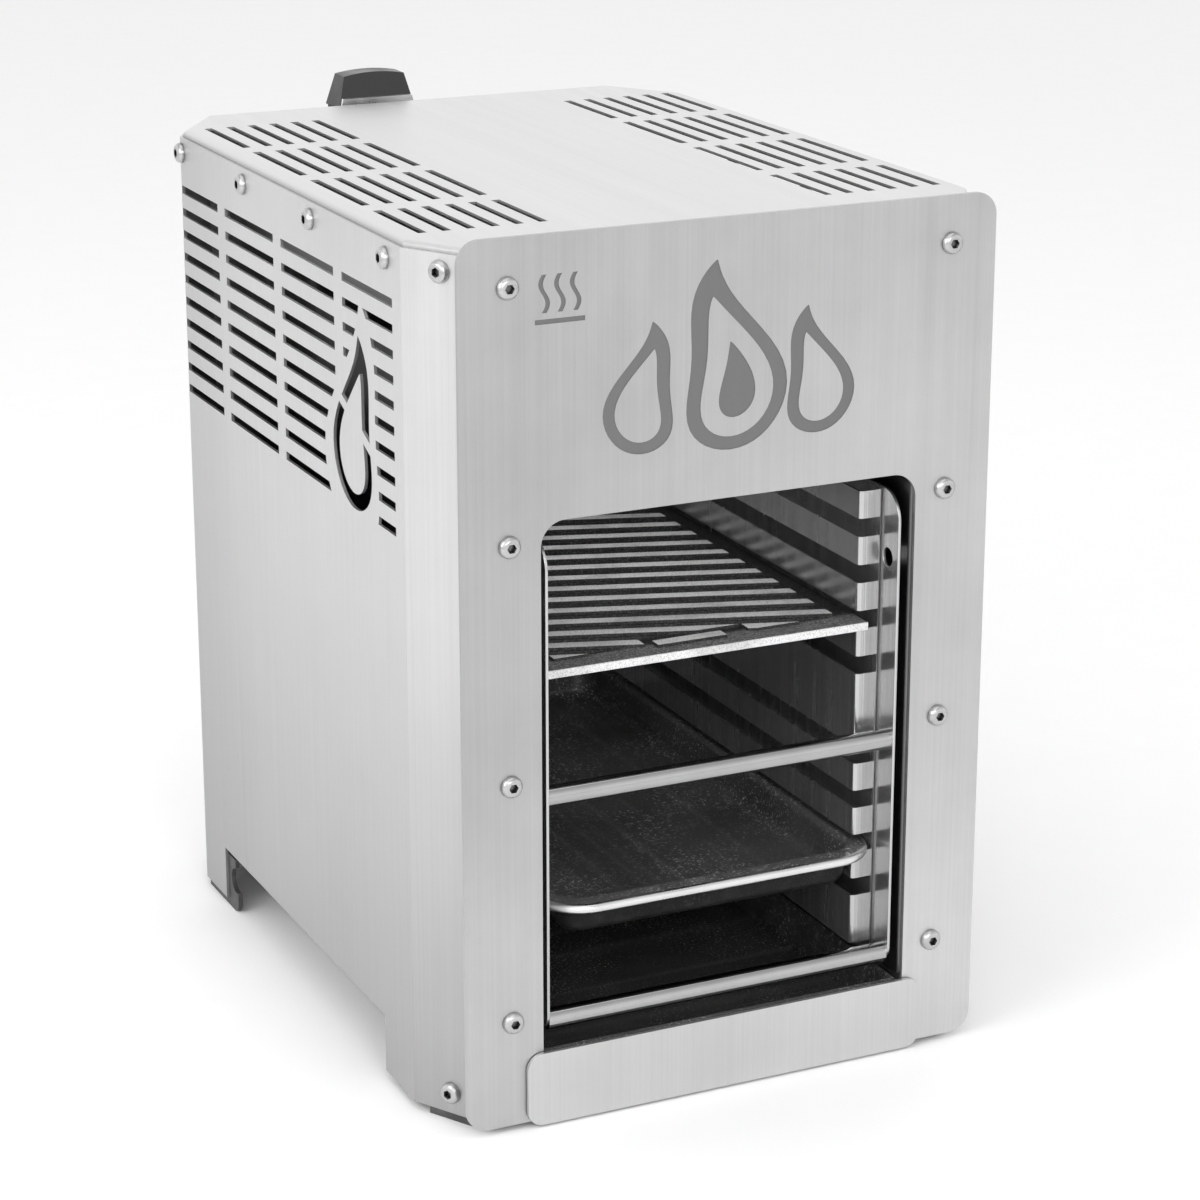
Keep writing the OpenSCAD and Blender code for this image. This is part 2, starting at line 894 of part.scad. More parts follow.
// field of the grate inside its rim, less the land around the lifting bar
module grate_field(inset) {
    land = [60, 2 * (grate_rim + 9)];
    rim = grate_rim + inset;
    difference() {
        square([grate_w - 2 * rim, grate_d - 2 * rim], center = true);
        translate([0, -grate_d / 2]) square(land + [2, 2] * inset, center = true);
    }
}

module grate() {
    bar_w = bar_pitch - bar_gap;
    lift_bar = [36, 7];
    color([0.3, 0.3, 0.31])
        translate([grate_x, grate_y + grate_d / 2, grate_z]) {
            linear_extrude(grate_t) difference() {
                square([grate_w, grate_d], center = true);
                difference() {
                    grate_field(0);
                    slanted_bars(bar_w);
                }
            }
            translate([0, 0, grate_t - eps]) linear_extrude(rib_rise + eps) intersection() {
                grate_field(-3);
                slanted_bars(bar_w - 2);
            }
            translate([-4, -grate_d / 2 + 12, grate_t - eps])
                linear_extrude(rib_rise + eps) square(lift_bar, center = true);
        }
}

// outline of the pan, drawn in by g
module pan_outline(g) {
    round_rect(pan_w - 2 * g, pan_d - 2 * g, pan_r - g);
}

module pan() {
    tub_z = pan_skirt - pan_h;
    color([0.62, 0.62, 0.64]) translate([0, pan_y + pan_d / 2, pan_z]) difference() {
        union() {
            linear_extrude(pan_skirt) pan_outline(0);
            translate([0, 0, tub_z]) linear_extrude(pan_h) pan_outline(pan_rim);
        }
        translate([0, 0, tub_z + pan_t]) linear_extrude(pan_h) pan_outline(pan_rim + pan_t);
        translate([0, 0, -1]) linear_extrude(pan_skirt + 1 - pan_t) difference() {
            pan_outline(pan_t);
            pan_outline(pan_rim);
        }
    }
}

module drip_tray() {
    front_lip = 6;
    color([0.5, 0.5, 0.52]) {
        difference() {
            translate([-tray_x, tray_y, tray_z]) cube([2 * tray_x, tray_len, tray_top - tray_z]);
            translate([-tray_x + tray_t, tray_y + tray_t, tray_z + tray_t])
                cube([2 * (tray_x - tray_t), tray_len - 2 * tray_t, 60]);
        }
        translate([-tray_x, tray_y, tray_top - tray_t]) cube([2 * tray_x, front_lip, tray_t]);
    }
}

module tray_front() {
    color([0.84, 0.84, 0.85]) difference() {
        upright(tray_y - tray_face_t, tray_face_t) translate([0, rivet_z])
            round_rect(tray_face_w, tray_face_top - tray_face_z, tray_face_r);
        for (x = rivet_xs) translate([x, tray_y - 1.2, rivet_z]) rotate([-90, 0, 0])
            cylinder(d = 4.2, h = 3);
    }
}

// blind rivets that hold the tray's face, flush behind its front
module tray_rivets() {
    color([0.6, 0.6, 0.62]) for (x = rivet_xs)
        translate([x, tray_y + tray_t, rivet_z]) rotate([-90, 0, 0]) cylinder(d = 8, h = 1.4);
}

// ---- control ----

module control_box() {
    left = knob_x - box_w / 2;
    front = body_d - panel_gap;
    ear_w = 12;
    slot = [4, 28, 5];
    slot_step = 9;
    color([0.7, 0.7, 0.71]) difference() {
        union() {
            translate([left, front, box_z]) cube([box_w, box_d + panel_gap, box_top - box_z]);
            translate([left - ear_w, front, box_z + 10])
                cube([box_w + 2 * ear_w, box_t, box_top - box_z - 30]);
        }
        translate([left + box_t, front - 3, box_z + box_t])
            cube([box_w - 2 * box_t, box_d + panel_gap + 3 - box_t, box_top - box_z - 2 * box_t]);
        translate([knob_x, knob_y, box_top - 5]) cylinder(d = 9.4, h = 10);
        translate([lamp_x, knob_y, box_top - 5]) cylinder(d = 8.2, h = 10);
        translate([inlet_x - inlet_w / 2 + 10, body_d + box_d - 5, inlet_z - inlet_h / 2 + 2])
            cube([inlet_w - 20, 10, inlet_h - 4]);
        for (s = [-1, 1]) on_rear(knob_x + s * ear_screw_x, ear_screw_z) screw_hole();
        for (s = [-1, 1]) translate([inlet_x + s * inlet_screw_x, body_d + box_d - 5, inlet_z])
            rotate([-90, 0, 0]) cylinder(d = 3.4, h = 10);
        for (k = [0:3])
            translate([knob_x + 10 + k * slot_step, body_d + 12, box_z - 1]) cube(slot);
    }
}

// body of the energy regulator, with the bush that its shaft turns in
module heat_regulator() {
    top = box_top - box_t;
    color([0.85, 0.82, 0.72]) difference() {
        union() {
            translate([knob_x - 21, knob_y - 17, top - regulator_h - 0.2])
                cube([42, 34, regulator_h]);
            translate([knob_x, knob_y, top - 1]) cylinder(d = 9, h = box_t + 3.4);
        }
        translate([knob_x, knob_y, top - 16]) cylinder(d = shaft_d + 0.1, h = 40);
    }
}

module regulator_shaft() {
    foot = box_top - box_t - 15.5;
    color([0.75, 0.75, 0.77]) translate([knob_x, knob_y, foot])
        cylinder(d = shaft_d, h = knob_z + 12 - foot);
}

// nut that clamps the regulator under the top of the box
module shaft_nut() {
    color([0.7, 0.7, 0.72]) translate([knob_x, knob_y, box_top + 0.05]) difference() {
        cylinder(d = 15, h = 2, $fn = 6);
        translate([0, 0, -1]) cylinder(d = 9.1, h = 5);
    }
}

// side of the knob's grip: a trapezoid of half widths w and top that stands on Z = 0
module grip_side(w, top, h) {
    polygon([[-w, 0], [w, 0], [top, h], [-top, h]]);
}

// the grip as seen from its broad side: a tapered block from y on, len deep, drawn in by g
module grip_block(g, y, len) {
    translate([0, y + len, 0]) rotate([90, 0, 0]) linear_extrude(len)
        grip_side(grip_long - g, grip_long - grip_taper - g, grip_h);
}

// bar-grip knob: a round skirt under a tapered grip with a crowned top
module knob() {
    crown_r = 90;
    nut_room = [19, 2.9];
    shaft_room = 12;
    color([0.1, 0.1, 0.11]) translate([knob_x, knob_y, knob_z]) difference() {
        union() {
            cylinder(d = knob_d, h = skirt_h);
            translate([0, 0, skirt_h - eps]) intersection() {
                grip_block(0, -11, 22);
                rotate([90, 0, 90]) linear_extrude(grip_box, center = true)
                    grip_side(grip_half, grip_top_half, grip_h);
                translate([0, 0, grip_h - crown_r]) rotate([90, 0, 0])
                    cylinder(r = crown_r, h = 40, center = true, $fn = 180);
            }
        }
        translate([0, 0, -1]) cylinder(d = nut_room[0], h = nut_room[1] + 1);
        translate([0, 0, -1]) cylinder(d = shaft_d, h = shaft_room + 1);
    }
}

// bright strip along the foot of the grip
module knob_trim() {
    strip_h = 5.4;
    color([0.9, 0.9, 0.9]) translate([knob_x, knob_y, knob_z + skirt_h]) difference() {
        intersection() {
            translate([-grip_box / 2, -12, 0]) cube([grip_box, 3, strip_h]);
            grip_block(0.4, -13, 6);
        }
        rotate([90, 0, 90]) linear_extrude(grip_box, center = true) {
            grip_side(grip_half + 0.05, grip_top_half, grip_h);
            translate([-grip_half, -1]) square([2 * grip_half, 1.1]);
        }
    }
}

module pilot_lamp() {
    color([0.75, 0.2, 0.1]) translate([lamp_x, knob_y, box_top - 14]) {
        cylinder(d = 8, h = 15);
        translate([0, 0, 14.05]) cylinder(d = 10.5, h = 1.4);
    }
}

// appliance inlet with a moulded flange and three blades
module power_inlet() {
    face_y = body_d + box_d;
    shell = [27.6, 22.4];
    socket = [24, 17];
    color([0.09, 0.09, 0.1]) {
        difference() {
            union() {
                translate([inlet_x - inlet_w / 2, face_y + 0.05, inlet_z - inlet_h / 2])
                    cube([inlet_w, inlet_rise - 0.05, inlet_h]);
                translate([inlet_x - shell[0] / 2, face_y - 24, inlet_z - shell[1] / 2])
                    cube([shell[0], 25, shell[1]]);
            }
            translate([inlet_x - socket[0] / 2, face_y - 16, inlet_z - socket[1] / 2])
                cube([socket[0], 30, socket[1]]);
            for (s = [-1, 1])
                translate([inlet_x + s * inlet_screw_x, face_y - 1, inlet_z]) rotate([-90, 0, 0]) {
                    cylinder(d = 3.4, h = 10);
                    translate([0, 0, 1 + inlet_rise - 1.5]) cylinder(d = 6, h = 10);
                }
        }
        for (k = [-1:1])
            translate([inlet_x + k * 7 - 1, face_y - 17, inlet_z - 2 + (k == 0 ? 3 : -1)])
                cube([2, 13, 4]);
    }
}

module inlet_screws() {
    seat_y = body_d + box_d + inlet_rise - 1.4;
    color([0.8, 0.8, 0.82]) for (s = [-1, 1])
        translate([inlet_x + s * inlet_screw_x, seat_y, inlet_z]) rotate([-90, 0, 0]) difference() {
            union() {
                cylinder(d = 5.6, h = 1.4);
                translate([0, 0, -8]) cylinder(d = 3, h = 8.5);
            }
            translate([0, 0, 0.6]) cylinder(d = 2, h = 3, $fn = 6);
        }
}

module terminal_block() {
    color([0.92, 0.9, 0.84]) difference() {
        translate([block_x, block_y, block_z]) cube(block_size);
        for (k = [0:3])
            translate([socket_at(k)[0], socket_at(k)[1], socket_z]) cylinder(d = socket_d, h = 20);
    }
}

// normal of the plane that cuts a wire at its point i, halfway between its two stretches there
function mitre(pts, i) =
    i == len(pts) - 1 ? unit(pts[i] - pts[i - 1])
    : unit(unit(pts[i] - pts[i - 1]) + unit(pts[i + 1] - pts[i]));

// a ring of points that is slid along the stretch before point i, onto the mitre there
function slid(ring, pts, i) =
    let (v = unit(pts[i] - pts[i - 1]), m = mitre(pts, i))
    [for (q = ring) q + v * (((pts[i] - q) * m) / (v * m))];

// a ring and all the rings that follow from it, at point i and on
function rings_from(ring, pts, i = 1) =
    i == len(pts) ? [ring] : concat([ring], rings_from(slid(ring, pts, i), pts, i + 1));

// a wire of diameter d along points, with mitred bends
module wire(pts, d) {
    count = 10;
    v = unit(pts[1] - pts[0]);
    u = unit(cross(v, abs(v[2]) > 0.9 ? [1, 0, 0] : [0, 0, 1]));
    w = cross(v, u);
    loft(rings_from([for (k = [0:count - 1]) let (a = 360 * k / count)
        pts[0] + (u * cos(a) + w * sin(a)) * d / 2], pts));
}

// sleeved leads: links between neighbouring hairpins, and one from each end of the row to the block
module element_leads() {
    d = 4;
    outer = hairpin_xs[2] + leg_x;
    inner = hairpin_xs[2] - leg_x;
    color([0.85, 0.83, 0.78]) for (s = [-1, 1]) {
        hole = socket_at(s < 0 ? 0 : 1);
        wire([[s * leg_x, tube_end, tube_z], [s * leg_x, lead_y, tube_z],
            [s * inner, lead_y, tube_z], [s * inner, tube_end, tube_z]], d);
        wire([[s * outer, tube_end, tube_z], [s * outer, lead_y, tube_z],
            [s * outer, lead_y, lead_z], [hole[0], lead_y, lead_z],
            [hole[0], hole[1], lead_z], [hole[0], hole[1], socket_z + 3]], d);
    }
}

// thinner leads inside the control box: inlet to regulator, regulator to block, inlet to block
module supply_leads() {
    d = 2.6;
    tags_y = body_d + box_d - 24;
    foot = box_top - box_t - 0.2 - regulator_h;
    live_x = inlet_x - 7;
    out_x = knob_x + 1;
    feed = socket_at(2);
    back = socket_at(3);
    color([0.25, 0.25, 0.27]) {
        wire([[live_x, tags_y, inlet_z], [live_x, tags_y - 9, inlet_z],
            [live_x, tags_y - 9, foot - 18], [knob_x - 12, tags_y - 9, foot - 18],
            [knob_x - 12, tags_y - 9, foot]], d);
        wire([[out_x, tags_y + 3, foot], [out_x, tags_y + 3, foot - 24],
            [feed[0], tags_y + 3, foot - 24], [feed[0], feed[1], foot - 24],
            [feed[0], feed[1], socket_z + 3]], d);
        wire([[inlet_x + 7, tags_y, inlet_z], [inlet_x + 7, tags_y - 6, inlet_z],
            [inlet_x + 7, tags_y - 6, foot - 31], [back[0], tags_y - 6, foot - 31],
            [back[0], back[1], foot - 31], [back[0], back[1], socket_z + 3]], d);
    }
}

// ---- the object ----

place() front_plate();
place() side_left();
place() side_right();
place() lid();
place() rear_panel();
place() base_plate();
place() feet();
place() liner_left();
place() liner_right();
place() liner_back();
place() rail_left();
place() rail_right();
place() heater_housing();
place() insulation_board();
place() reflector();
place() heating_elements();
place() element_supports();
place() element_bushes();
place() heat_shield();
place() shield_spacers();
place() front_screws();
place() side_screws();
place() foot_screws();
place() rear_screws();
place() rivet_nuts();
place() rack_plate_left();
place() rack_plate_right();
place() rack_channel_left();
place() rack_channel_right();
place() rack_rods();
place() grate();
place() pan();
place() drip_tray();
place() tray_front();
place() tray_rivets();
place() control_box();
place() heat_regulator();
place() regulator_shaft();
place() knob();
place() knob_trim();
place() shaft_nut();
place() pilot_lamp();
place() power_inlet();
place() inlet_screws();
place() terminal_block();
place() element_leads();
place() supply_leads();
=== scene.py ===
import math

import bmesh
import bpy
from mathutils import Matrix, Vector


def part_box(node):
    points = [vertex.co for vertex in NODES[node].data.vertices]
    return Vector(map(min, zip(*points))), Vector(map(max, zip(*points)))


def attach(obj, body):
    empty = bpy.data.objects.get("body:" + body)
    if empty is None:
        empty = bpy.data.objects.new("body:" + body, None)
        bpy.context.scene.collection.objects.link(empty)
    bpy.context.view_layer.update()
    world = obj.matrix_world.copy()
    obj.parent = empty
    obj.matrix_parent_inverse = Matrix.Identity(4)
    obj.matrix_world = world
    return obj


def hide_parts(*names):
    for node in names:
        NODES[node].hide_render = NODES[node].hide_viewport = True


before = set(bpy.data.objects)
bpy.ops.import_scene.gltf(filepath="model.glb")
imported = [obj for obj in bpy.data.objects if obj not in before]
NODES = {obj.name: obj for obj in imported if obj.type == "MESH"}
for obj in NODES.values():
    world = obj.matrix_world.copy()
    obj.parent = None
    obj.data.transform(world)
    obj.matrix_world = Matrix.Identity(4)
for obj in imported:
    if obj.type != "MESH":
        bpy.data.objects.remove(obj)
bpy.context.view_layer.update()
X, Y, Z = 0, 1, 2


# ---- writing materials ----


def feed(tree, socket, value):
    """Links a socket to another node's output, or sets its own value."""
    if isinstance(value, bpy.types.NodeSocket):
        tree.links.new(value, socket)
    else:
        socket.default_value = value


def add(tree, kind, inputs=(), **settings):
    """Adds a shader node. An input is a value, or another node's output to link."""
    made = tree.nodes.new("ShaderNode" + kind)
    for key, value in settings.items():
        setattr(made, key, value)
    for key, value in dict(inputs).items():
        feed(tree, made.inputs[key], value)
    return made


def component(tree, vector, which):
    """X, Y or Z of a vector."""
    return add(tree, "SeparateXYZ", {0: vector}).outputs[which]


def ramp(tree, value, low, high, to_low=0.0, to_high=1.0):
    """value from low..high to to_low..to_high, with soft ends."""
    made = add(
        tree,
        "MapRange",
        {"Value": value, "From Min": low, "From Max": high, "To Min": to_low, "To Max": to_high},
        interpolation_type="SMOOTHSTEP",
    )
    return made.outputs[0]


def grey(value, tint=0.0):
    """A neutral colour, warmer with a positive tint."""
    return (value * (1 + tint), value, value * (1 - tint), 1)


class Finish:
    """A material under construction: patterns in, one shader out."""

    def __init__(self, name, metallic=0.0, **constants):
        self.material = bpy.data.materials.new(name)
        self.material.use_nodes = True
        self.tree = self.material.node_tree
        self.shader = self.tree.nodes["Principled BSDF"]
        self.shader.inputs["Metallic"].default_value = metallic
        for key, value in constants.items():
            self.shader.inputs[key.replace("_", " ")].default_value = value
        self.place = add(self.tree, "TexCoord").outputs["Object"]

    def noise(self, per_metre, detail, rough=0.5, shift=0.0):
        """Noise from 0 to 1 with this many grains a metre, or as many along X, Y and Z."""
        scale = per_metre if isinstance(per_metre, tuple) else (per_metre,) * 3
        mapped = add(
            self.tree,
            "Mapping",
            {"Vector": self.place, "Scale": scale, "Location": (shift, shift, shift)},
        )
        made = add(
            self.tree,
            "TexNoise",
            {"Vector": mapped.outputs[0], "Scale": 1.0, "Detail": detail, "Roughness": rough},
        )
        return made.outputs[0]

    def math(self, operation, a, b=0.0, c=0.0):
        """The result of one maths node."""
        return add(self.tree, "Math", {0: a, 1: b, 2: c}, operation=operation).outputs[0]

    def times(self, first, *others):
        """The product of all values."""
        product = first
        for value in others:
            product = self.math("MULTIPLY", product, value)
        return product

    def sway(self, value, noise, amount):
        """value, moved down or up by at most half of amount, as noise goes from 0 to 1."""
        return self.math("MULTIPLY_ADD", self.math("SUBTRACT", noise, 0.5), amount, value)

    def ramp(self, value, low, high, to_low=0.0, to_high=1.0):
        """The function ramp, in this material."""
        return ramp(self.tree, value, low, high, to_low, to_high)

    def mix(self, share, a, b):
        """Colour a where share is 0 and colour b where it is 1."""
        return add(self.tree, "Mix", {0: share, 6: a, 7: b}, data_type="RGBA").outputs[2]

    def axis(self, which):
        """One coordinate of the place, in the shared frame at rest."""
        return component(self.tree, self.place, which)

    def facing(self, which):
        """One component of the surface's normal, in the piece's own frame."""
        return component(self.tree, add(self.tree, "TexCoord").outputs["Normal"], which)

    def link(self, socket, value):
        """Gives the shader's named input a pattern."""
        self.tree.links.new(value, self.shader.inputs[socket])

    def bump(self, height, distance, strength):
        """Relief from a pattern, this many metres deep at full strength."""
        made = add(
            self.tree, "Bump", {"Height": height, "Distance": distance, "Strength": strength}
        )
        self.link("Normal", made.outputs[0])


# grains a metre of brushed lines and of wider streaks: along the brushing, and across it
BRUSH = (5, 900)
STREAK = (1.5, 130)


def drawn_out(along, grains):
    """Grains a metre along X, Y and Z, of a pattern drawn out along one axis."""
    return tuple(grains[0] if axis == along else grains[1] for axis in "xyz")


# ---- metals ----


def brushed(
    name, along, tone, rough, spread=0.06, clouds=0.05, line=0.16, metallic=1.0,
    shade_fades=(), marks=None, fold_shade=1.0,
):
    """Brushed sheet metal: fine lines along one axis, wider streaks and soft clouds.

    Each fade of painted shade is (axis, from, to, share): the tone falls to that share between two
    places.
    Where the sheet turns down from the horizontal, painted shade lowers the tone to the share given for
    its bends.
    """
    fine_part, wide_part, cloud_part = 1.6, 0.9, 2.6
    mark_tone = 0.19
    made = Finish(name, metallic=metallic)
    fine = made.noise(drawn_out(along, BRUSH), detail=3)
    wide = made.noise(drawn_out(along, STREAK), detail=3, shift=3.7)
    cloud = made.noise(9, detail=5, rough=0.62, shift=1.3)
    value = made.sway(tone, fine, spread * fine_part)
    value = made.sway(value, wide, spread * wide_part)
    value = made.sway(value, cloud, clouds * cloud_part)
    # painted shade: each fade lowers the tone along one axis
    for axis, start, end, share in shade_fades:
        value = made.times(value, made.ramp(made.axis(axis), start, end, 1.0, share))
    # painted shade on the bends: faces turned away from straight up are darker
    if fold_shade < 1:
        value = made.times(value, made.ramp(made.facing(Z), 0.3, 0.97, fold_shade, 1.0))
    colour = add(made.tree, "CombineColor", {0: value, 1: value, 2: value}).outputs[0]
    dull = made.sway(rough, wide, 0.22)
    dull = made.sway(dull, cloud, 0.14)
    if marks is not None:
        share = marks(made)
        colour = made.mix(share, colour, grey(mark_tone))
        dull = made.math("MULTIPLY_ADD", share, 0.22, dull)
    made.link("Base Color", colour)
    made.link("Roughness", dull)
    made.bump(fine, 0.00012, line)
    return made.material


def engraved(made):
    """1 on the floor of the marks engraved in the front plate, and 0 elsewhere."""
    least_depth, most_depth = 0.00018, 0.0006
    depth = made.math("SUBTRACT", made.axis(Y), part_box("front_plate")[0].y)
    sunk = made.math("GREATER_THAN", depth, least_depth)
    not_back = made.math("LESS_THAN", depth, most_depth)
    forwards = made.math("LESS_THAN", made.facing(Y), -0.5)
    return made.times(sunk, not_back, forwards)


def polished(name, tone, rough, along, shade_reach=0.0):
    """Bright metal with fine lines; with a reach in metres, painted shade darkens its sockets and
    corners.
    """
    made = Finish(name, metallic=1.0)
    fine = made.noise(drawn_out(along, BRUSH), detail=2)
    worn = made.noise(55, detail=3, shift=2.1)
    colour = made.mix(worn, grey(tone * 0.9), grey(min(1, tone * 1.1)))
    if shade_reach:
        # painted shade: ambient occlusion darkens sockets, corners and faces close to other parts
        unshaded_share = add(made.tree, "AmbientOcclusion", {"Distance": shade_reach}).outputs["AO"]
        colour = made.mix(made.ramp(unshaded_share, 0.25, 0.85), grey(0.02), colour)
    made.link("Base Color", colour)
    made.link("Roughness", made.ramp(worn, 0.3, 0.7, rough * 0.8, rough * 1.3))
    made.bump(fine, 0.00003, 0.08)
    return made.material


def baked_and_shaded_sheet(name, along, tone, speck, streaks=0.6, **constants):
    """Sheet darkened by use, with faint streaks, stains and fine lighter specks of burnt-on food; made
    near black, it is the painted shade under the pan.
    """
    made = Finish(name, **constants)
    fine = made.noise(drawn_out(along, BRUSH), detail=3)
    streak = made.noise(drawn_out(along, STREAK), detail=3, shift=6.1)
    stain = made.noise(14, detail=4, shift=5.2)
    patch = made.noise(24, detail=3, shift=8.3)
    grain = made.noise(750, detail=3, rough=0.75, shift=0.7)
    base = made.mix(made.ramp(stain, 0.35, 0.65), grey(tone), grey(tone * 0.6))
    base = made.mix(made.ramp(streak, 0.45, 0.75, 0.0, streaks), base, grey(tone * 2.2))
    spots = made.times(made.ramp(grain, 0.56, 0.66), made.ramp(patch, 0.4, 0.65, 0.25, 1.0))
    made.link("Base Color", made.mix(spots, base, grey(speck)))
    made.link("Roughness", made.math("MULTIPLY_ADD", spots, 0.2, made.ramp(stain, 0.2, 0.8, 0.32, 0.5)))
    made.bump(made.math("MULTIPLY_ADD", spots, 0.8, made.times(fine, 0.2)), 0.0002, 0.4)
    return made.material


def cast_iron(name):
    """Dark grainy casting whose raised bars and front edge are worn to bright metal."""
    # metres below the grate's top, where the wear begins and where it is full
    worn_from, worn_full = 0.0008, 0.0003
    # metres behind its front: the worn edge, and the band in which the duller flat rim ends
    edge = 0.0006
    flat_from, flat_to = 0.012, 0.017
    lo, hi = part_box("grate")
    made = Finish(name, metallic=0.25)
    grain = made.noise(1300, detail=3, rough=0.7)
    pits = made.noise(300, detail=2, shift=1.9)
    wear = made.noise(45, detail=4, shift=4.4)
    upwards = made.ramp(made.facing(Z), 0.6, 0.95)
    top = made.ramp(made.axis(Z), hi.z - worn_from, hi.z - worn_full)
    front = made.math("LESS_THAN", made.axis(Y), lo.y + edge)
    rubbed = made.math("MAXIMUM", made.times(top, upwards), front)
    rubbed = made.times(rubbed, made.ramp(wear, 0.3, 0.55, 0.72, 1.0))
    rubbed = made.times(rubbed, made.ramp(grain, 0.36, 0.52, 0.6, 1.0))
    land = made.ramp(made.axis(Y), lo.y + flat_from, lo.y + flat_to, 1.0, 0.0)
    land = made.times(land, upwards)
    dark = made.mix(made.ramp(grain, 0.45, 0.72), grey(0.01), grey(0.1))
    dull = made.mix(made.ramp(grain, 0.4, 0.68), grey(0.06), grey(0.34))
    made.link("Base Color", made.mix(rubbed, made.mix(land, dark, dull), grey(0.78)))
    made.link("Roughness", made.ramp(rubbed, 0.0, 1.0, 0.6, 0.34))
    made.bump(made.math("MULTIPLY_ADD", pits, 0.6, made.times(grain, 0.4)), 0.0005, 0.5)
    return made.material


def oxidised(name):
    """Heating tube's sheath: brownish oxide in uneven patches."""
    made = Finish(name, metallic=1.0)
    patch = made.noise(80, detail=4, rough=0.65)
    fine = made.noise(900, detail=2)
    made.link("Base Color", made.mix(patch, grey(0.07, 0.12), grey(0.2, 0.18)))
    made.link("Roughness", made.ramp(patch, 0.3, 0.7, 0.45, 0.65))
    made.bump(fine, 0.0002, 0.3)
    return made.material


# ---- mouldings, paint and sleeves ----


def moulded(name, tone, rough, tint=0.0):
    """Moulded plastic or ceramic with a fine grain."""
    made = Finish(name)
    grain = made.noise(900, detail=2)
    worn = made.noise(60, detail=3, shift=2.7)
    made.link("Base Color", made.mix(worn, grey(tone * 0.85, tint), grey(tone * 1.2, tint)))
    made.link("Roughness", made.ramp(worn, 0.3, 0.7, rough - 0.06, rough + 0.08))
    made.bump(grain, 0.0002, 0.25)
    return made.material


def painted_black(name):
    """Matt black paint with a little orange peel, rubbed lighter in places."""
    made = Finish(name)
    peel = made.noise(500, detail=2)
    worn = made.noise(90, detail=4, shift=3.1)
    made.link("Base Color", made.mix(made.ramp(worn, 0.45, 0.75), grey(0.045), grey(0.11)))
    made.link("Roughness", made.ramp(worn, 0.3, 0.7, 0.4, 0.6))
    made.bump(peel, 0.0002, 0.3)
    return made.material


def braided(name, tone, tint=0.0):
    """Woven glass sleeve: two families of fine diagonal threads."""
    made = Finish(name)
    threads = []
    for turn in (0.0, math.pi / 2):
        turned = add(made.tree, "Mapping", {"Vector": made.place, "Rotation": (turn, turn, turn)})
        wave = add(
            made.tree,
            "TexWave",
            {"Vector": turned.outputs[0], "Scale": 260.0},
            bands_direction="DIAGONAL",
        )
        threads.append(wave.outputs["Fac"])
    weave = made.math("MAXIMUM", *threads)
    made.link("Base Color", made.mix(weave, grey(tone * 0.6, tint), grey(tone, tint)))
    made.link("Roughness", made.ramp(weave, 0.0, 1.0, 0.9, 0.7))
    made.bump(weave, 0.0003, 0.5)
    return made.material


def lens(name):
    """Glossy red lens of the pilot lamp."""
    dark_red, bright_red = (0.35, 0.02, 0.01, 1), (0.65, 0.06, 0.02, 1)
    made = Finish(name, Roughness=0.12, Coat_Weight=0.6, Coat_Roughness=0.05)
    ribs = made.noise(600, detail=1)
    made.link("Base Color", made.mix(ribs, dark_red, bright_red))
    made.bump(ribs, 0.0002, 0.2)
    return made.material


# ---- materials of the CAD nodes ----

